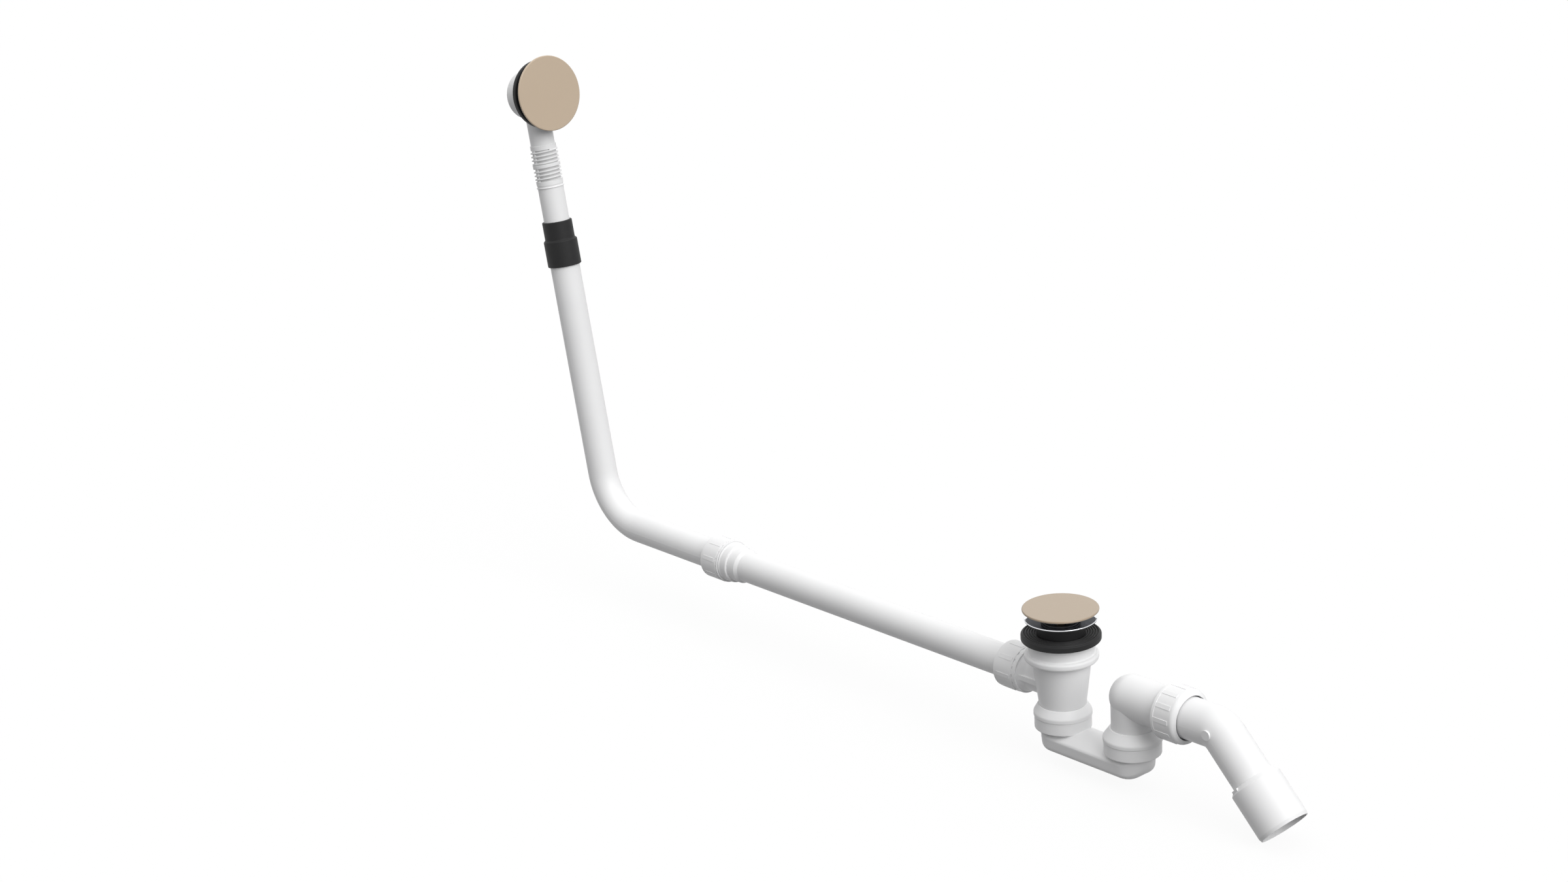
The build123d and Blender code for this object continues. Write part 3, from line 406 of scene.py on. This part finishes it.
def connector_radius(height, angle):
    """Outer radius at a height along the riser and an angle from its front.

    radius = largest of core, rib, spine and bands. The rib's centre climbs by one pitch a turn, and
    its height over the core falls in a straight line from crest to root on both flanks. Beside a
    spine the core sinks by pocket_depth x (1 - angle from the spine / pocket_sweep)^pocket_bend.
    """
    start = np.where(height < middle_band[0], lower_rib_start, upper_rib_start)
    climb = (height - start - rib_pitch * angle / 360.0) / rib_pitch
    off_centre = np.abs(climb - np.round(climb)) * rib_pitch
    flank = np.clip((rib_half_root - off_centre) / (rib_half_root - rib_half_crest), 0.0, 1.0)
    from_spine = (angle + 90.0) % 180.0
    to_spine = np.minimum(from_spine, 180.0 - from_spine)
    fading = np.clip(1.0 - from_spine / pocket_sweep, 0.0, 1.0) ** pocket_bend
    pocket = between(from_spine, pocket_start, 400.0, 1.0) * fading
    spine = between(to_spine, -90.0, np.degrees(spine_half_width / core_radius), 1.0)
    ribbed = core_radius - pocket_depth * pocket
    ribbed = ribbed + (rib_crest - ribbed) * flank
    ribbed = np.maximum(ribbed, core_radius + (spine_radius - core_radius) * spine)
    collar_foot = top_collar[0]
    beside_slot = between(angle, slot_end, 80.0, 1.0)
    shut = beside_slot * between(height, collar_foot - 2.0, collar_foot + 1.0)
    ribbed = np.maximum(ribbed, top_collar[2] * shut)
    at_slot_end = between(angle, slot_end - slot_hole_sweep, slot_end, 1.0)
    slot_hole = at_slot_end * between(height, collar_foot - 1.0, collar_foot)
    ribbed = ribbed - slot_hole * slot_hole_depth * (1.0 - flank)
    radius = np.where(height < low_band[1], tube_radius, ribbed)
    for low, high, band in (stop_ring, low_band, middle_band, top_collar):
        inside = between(height, low, high)
        radius = np.where(inside > 0, np.maximum(radius, band * inside), radius)
    in_collar = (height > collar_foot) & (height <= top_collar[1])
    return np.where(in_collar, top_collar[2], radius)


heights = np.concatenate(
    [
        np.linspace(connector_low, stop_ring[0] - 0.3, tube_rows),
        np.linspace(stop_ring[0] - 0.2, top_collar[1] - 0.3, ribbed_rows),
    ]
)
angles = np.linspace(-180.0, 180.0, around_count, endpoint=False)
angle_grid, height_grid = np.meshgrid(angles, heights)
outer_radius = connector_radius(height_grid, angle_grid)
bore_profile = np.array(
    [
        (top_collar[1], 13.8),
        (top_collar[1], 13.3),
        (414.1, 13.3),
        (414.1, 10.8),
        (low_band[1], 10.8),
        (low_band[0], 12.2),
        (connector_low, 12.2),
        (connector_low, 13.6),
    ]
)
bore_angles = np.repeat(angles[None, :], len(bore_profile), axis=0)
height_grid = np.vstack([height_grid, np.repeat(bore_profile[:, :1], around_count, axis=1)])
radius_grid = np.vstack([outer_radius, np.repeat(bore_profile[:, 1:], around_count, axis=1)])
turn_grid = np.radians(np.vstack([angle_grid, bore_angles]))
points = (
    riser_foot
    + height_grid[..., None] * 0.001 * riser_way
    + (radius_grid * np.cos(turn_grid))[..., None] * 0.001 * front_way
    + (radius_grid * np.sin(turn_grid))[..., None] * 0.001 * side_way
)


def skin(name, *grids):
    """Closed skins over grids of points, rows going up their outsides and columns turning left.

    Columns close on themselves, and the last row joins the first. Where the first row has shrunk
    to a line along X, both of these rows are welded along their lines instead.
    """
    mesh = bpy.data.meshes.new(name)
    build = bmesh.new()
    for points in grids:
        corners = [[build.verts.new(point) for point in row] for row in points.tolist()]
        shrunk = int(np.ptp(points[0][:, 1]) < 1e-7)
        for row in range(len(corners) - shrunk):
            here, there = corners[row], corners[(row + 1) % len(corners)]
            for column in range(-1, len(here) - 1):
                build.faces.new((here[column], here[column + 1], there[column + 1], there[column]))
    bmesh.ops.remove_doubles(build, verts=build.verts, dist=1e-7)
    build.to_mesh(mesh)
    build.free()
    mesh.shade_smooth()
    piece = bpy.data.objects.new(name, mesh)
    bpy.context.scene.collection.objects.link(piece)
    return piece


# Painted shade between the ribs, where less light comes back: colour = white x a ramp of the
# distance from the riser's axis, from the floor of the pockets out to the plain tube.
ribbed_plastic_painted_shade = moulded("ribbed_plastic_painted_shade", **white_skin)
ribbed_tree = ribbed_plastic_painted_shade.node_tree
riser_place = object_place(ribbed_tree, riser_foot.tolist(), (0.0, -riser_lean, 0.0))
painted_shade_ramp = add_node(
    ribbed_tree,
    "ShaderNodeMapRange",
    {
        "Value": distance_from_axis(ribbed_tree, riser_place),
        "From Min": 0.0114,
        "From Max": 0.0140,
        "To Min": 0.3,
        "To Max": 1.0,
    },
).outputs["Result"]
ribbed_shader = ribbed_tree.nodes["Principled BSDF"]
ribbed_white = ribbed_shader.inputs["Base Color"].links[0].from_socket
white_with_painted_shade = add_node(
    ribbed_tree,
    "ShaderNodeVectorMath",
    {0: ribbed_white, "Scale": painted_shade_ramp},
    operation="SCALE",
)
ribbed_tree.links.new(white_with_painted_shade.outputs["Vector"], ribbed_shader.inputs["Base Color"])

# The connector wears the white with painted shade between its ribs.
connector = skin("ribbed_connector", points)
connector.data.materials.append(ribbed_plastic_painted_shade)
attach(connector, "waste")
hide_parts("overflow_connector")

# Overflow head: a white drum behind the bath's wall, a rubber ring on its flange, the plated
# flange plate inside the bath with its screw, and the coated cover that snaps over the plate.
head_centre = (-0.737767, 0.0, 0.419229)
head_turn = (0.0, np.pi / 2 - riser_lean, 0.0)
head_coated_from = -0.0021
dress(white_plastic, "overflow_body")
dress(brass, "head_bush")
dress(black_rubber, "wall_gasket")
head_chrome = turned_metal(
    "head_chrome",
    colour=chrome_colour,
    gloss=0.09,
    spread=0.05,
    line_depth=0.000001,
    centre=head_centre,
    turn=head_turn,
)
dress(head_chrome, "wall_flange")
dress(spring_steel, "head_screw")
# The overflow cover has the waste cover's coating, but is given a lighter colour: painted light
# that evens out how unequally the lamps light the two covers.
head_coating_painted_light = coated_disc(
    "overflow_cover_coating_painted_light", (0.565, 0.453, 0.338), head_coated_from, head_centre, head_turn
)
dress(head_coating_painted_light, "overflow_cover")

# Trap: a flat cup of white plastic that keeps the water, with a ring over each of its two necks.
# The rings hold the rubber in which the spigots of the body and of the elbow can turn.
dress(white_plastic, "trap_inlet_ring", "trap_outlet_ring")
dress(black_rubber, "trap_inlet_seal", "trap_outlet_seal")

# The tub is an oval in plan, rolled in at its foot and crowned on top. Only its outside is drawn,
# so its mesh holds no channel. Lengths are in millimetres.
trap_centres = 89.0
tub_half_width = 22.6
tub_end_reach = 20.2
tub_floor = -118.0
tub_edge = -102.0
tub_crown = -93.5
tub_lean = 1.4
tub_edge_round = 1.6
side_roll = 6.5
end_roll = 14.0
end_columns = 48
straight_columns = 24

half_turn = np.linspace(-np.pi / 2, np.pi / 2, end_columns)
straight = np.linspace(0.0, trap_centres, straight_columns + 2)[1:-1]
level = np.zeros(straight_columns)
ring_middle = np.concatenate(
    [np.full(end_columns, trap_centres), straight[::-1], np.zeros(end_columns), straight]
)
ring_along = np.concatenate([np.cos(half_turn), level, -np.cos(half_turn), level])
ring_across = np.concatenate([np.sin(half_turn), level + 1.0, -np.sin(half_turn), level - 1.0])
roll = side_roll + (end_roll - side_roll) * ring_along**4


def tub_row(reach, height):
    """Points round the tub at a half width and a height, each one number or one a column.

    x = nearest neck's axis + reach x cos x end_reach / half_width, y = reach x sin, z = height,
    with cos 0 along the straight sides.
    """
    along = ring_middle + reach * ring_along * tub_end_reach / tub_half_width
    return np.stack([along, reach * ring_across, height + 0.0 * along], axis=-1)


def wall_reach(height):
    """Half width of the wall, which leans in by tub_lean from its edge down to its foot."""
    share_down = np.clip((tub_edge - height) / (tub_edge - tub_floor), 0.0, 1.0)
    return tub_half_width - tub_lean * share_down


def crown_height(reach):
    """Height of the crown: edge + (crown - edge) x (1 - (y / half_width)^2)."""
    return tub_edge + (tub_crown - tub_edge) * (1.0 - (reach * ring_across / tub_half_width) ** 2)


rows = [tub_row(share * (wall_reach(tub_floor) - roll), tub_floor) for share in (0.0, 0.5, 0.9)]
for turned in np.linspace(0.0, np.pi / 2, 14):
    height = tub_floor + roll * (1.0 - np.cos(turned))
    rows.append(tub_row(wall_reach(height) - roll * (1.0 - np.sin(turned)), height))
wall_foot = tub_floor + roll
wall_head = crown_height(tub_half_width) - tub_edge_round
for share in (0.35, 0.7):
    height = wall_foot + (wall_head - wall_foot) * share
    rows.append(tub_row(wall_reach(height), height))
for turned in np.linspace(0.0, np.pi / 2, 7):
    reach = tub_half_width - tub_edge_round * (1.0 - np.cos(turned))
    rows.append(tub_row(reach, crown_height(reach) - tub_edge_round * (1.0 - np.sin(turned))))
for share in (0.88, 0.8, 0.65, 0.5, 0.35, 0.2, 0.0):
    rows.append(tub_row(tub_half_width * share, crown_height(tub_half_width * share)))
tub_points = np.array(rows)

# Radius and height round each neck's section: out along its foot, up its outside, in over its
# rim and down its bore
neck_profile = np.array(
    [
        (17.0, -96.4),
        (25.6, -96.4),
        (26.2, -96.4),
        (26.7, -96.3),
        (27.1, -96.0),
        (27.3, -95.5),
        (27.3, -94.9),
        (27.3, -84.6),
        (27.3, -84.0),
        (25.0, -84.0),
        (25.0, -79.0),
        (23.5, -79.0),
        (23.5, -93.9),
        (17.0, -93.9),
    ]
)
neck_turn = np.linspace(-np.pi, np.pi, 128, endpoint=False)
neck_points = np.stack(
    [
        neck_profile[:, :1] * np.cos(neck_turn),
        neck_profile[:, :1] * np.sin(neck_turn),
        neck_profile[:, 1:] + 0.0 * neck_turn,
    ],
    axis=-1,
)
trap_cup = skin(
    "water_cup",
    tub_points * 0.001,
    neck_points * 0.001,
    (neck_points + np.array([trap_centres, 0.0, 0.0])) * 0.001,
)
trap_cup.data.materials.append(white_plastic)
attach(trap_cup, "trap")
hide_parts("trap_cup")

# Outlet: the elbow out of the trap, a large ribbed nut with its packing, the bend and the sleeve
# that goes over to the wider drain pipe, in the same white plastic but for the packing.
dress(white_plastic, "outlet_elbow", "outlet_nut", "outlet_bend", "drain_sleeve")
dress(black_rubber, "outlet_seal")
dress(grey_plastic, "slip_washer")

# Floor: a pale ground under the lowest piece. The camera, gloss and glass see it close to white,
# and the object is lit by it as by a darker ground, so that its undersides keep their shade.
floor_half = 14.0
floor_height = -0.1322
floor_glow = 0.93
floor_mesh = bpy.data.meshes.new("floor")
floor_mesh.from_pydata(
    [
        (-floor_half, -floor_half, floor_height),
        (floor_half, -floor_half, floor_height),
        (floor_half, floor_half, floor_height),
        (-floor_half, floor_half, floor_height),
    ],
    [],
    [(0, 1, 2, 3)],
)
floor = bpy.data.objects.new("floor", floor_mesh)
bpy.context.scene.collection.objects.link(floor)


def seen_directly(tree):
    """1 for camera, glossy and transmission rays, 0 for the others."""
    path = add_node(tree, "ShaderNodeLightPath")
    seen = maths(tree, "MAXIMUM", path.outputs["Is Camera Ray"], path.outputs["Is Glossy Ray"])
    return maths(tree, "MAXIMUM", seen, path.outputs["Is Transmission Ray"])


floor_material = bpy.data.materials.new("pale_floor")
floor_material.use_nodes = True
floor_tree = floor_material.node_tree
floor_tree.nodes.remove(floor_tree.nodes["Principled BSDF"])
shaded_floor = add_node(floor_tree, "ShaderNodeBsdfDiffuse", {"Color": (0.95, 0.95, 0.95, 1)})
glowing_floor = add_node(
    floor_tree, "ShaderNodeEmission", {"Color": (1, 1, 1, 1), "Strength": 1.0}
)
seen_floor = add_node(
    floor_tree,
    "ShaderNodeMixShader",
    {0: floor_glow, 1: shaded_floor.outputs[0], 2: glowing_floor.outputs[0]},
)
lit_floor = add_node(floor_tree, "ShaderNodeBsdfDiffuse", {"Color": (0.15, 0.15, 0.153, 1)})
floor_mix = add_node(
    floor_tree,
    "ShaderNodeMixShader",
    {0: seen_directly(floor_tree), 1: lit_floor.outputs[0], 2: seen_floor.outputs[0]},
)
floor_tree.links.new(floor_mix.outputs[0], floor_tree.nodes["Material Output"].inputs["Surface"])
floor_mesh.materials.append(floor_material)

# World and lamps: an even pale room, and soft suns from overhead, from the right and from behind.
# The room is white to the camera and dimmer as a light.
world = bpy.data.worlds.new("pale_room")
bpy.context.scene.world = world
world.use_nodes = True
world_tree = world.node_tree
room = world_tree.nodes["Background"]
room.inputs["Color"].default_value = (1, 1, 1, 1)
room_light = 0.455
room_strength = add_node(
    world_tree,
    "ShaderNodeMapRange",
    {"Value": seen_directly(world_tree), "To Min": room_light, "To Max": 1.0},
)
world_tree.links.new(room_strength.outputs[0], room.inputs["Strength"])

for lamp_name, strength, spread, towards in (
    ("overhead", 0.7, 60.0, (-0.05, -0.1, 1.0)),
    ("from_right", 1.8, 50.0, (0.80, -0.03, 0.60)),
    ("from_behind", 0.35, 60.0, (-0.6, 0.7, 0.5)),
):
    lamp = bpy.data.lights.new(lamp_name, "SUN")
    lamp.energy = strength
    lamp.angle = np.radians(spread)
    lamp_object = bpy.data.objects.new(lamp_name, lamp)
    back = np.array(towards) / np.linalg.norm(towards)
    side = np.cross((0.0, 0.0, 1.0), back)
    side = side / np.linalg.norm(side)
    turn = np.eye(4)
    turn[:3, 0], turn[:3, 1], turn[:3, 2] = side, np.cross(back, side), back
    lamp_object.matrix_world = Matrix(turn.tolist())
    bpy.context.scene.collection.objects.link(lamp_object)

# Camera: a little over a metre above the waste, on its front right, looking down on it and turned
# as the photograph's is. The lens is a short tele, so the far end shrinks only a little.
camera_turn = np.eye(4)
camera_turn[:3, 0] = (0.6631, 0.7467, -0.0522)
camera_turn[:3, 1] = (-0.2099, 0.2524, 0.9446)
camera_turn[:3, 2] = (0.7185, -0.6154, 0.3241)
camera_turn[:3, 3] = (1.8961, -1.9538, 1.1332)
camera_data = bpy.data.cameras.new("photo_view")
camera_data.sensor_width = 36.0
camera_data.lens = 71.49
camera_data.clip_end = 100.0
camera = bpy.data.objects.new("photo_view", camera_data)
camera.matrix_world = Matrix(camera_turn.tolist())
bpy.context.scene.collection.objects.link(camera)
bpy.context.scene.camera = camera
bpy.context.scene.view_settings.view_transform = "Standard"
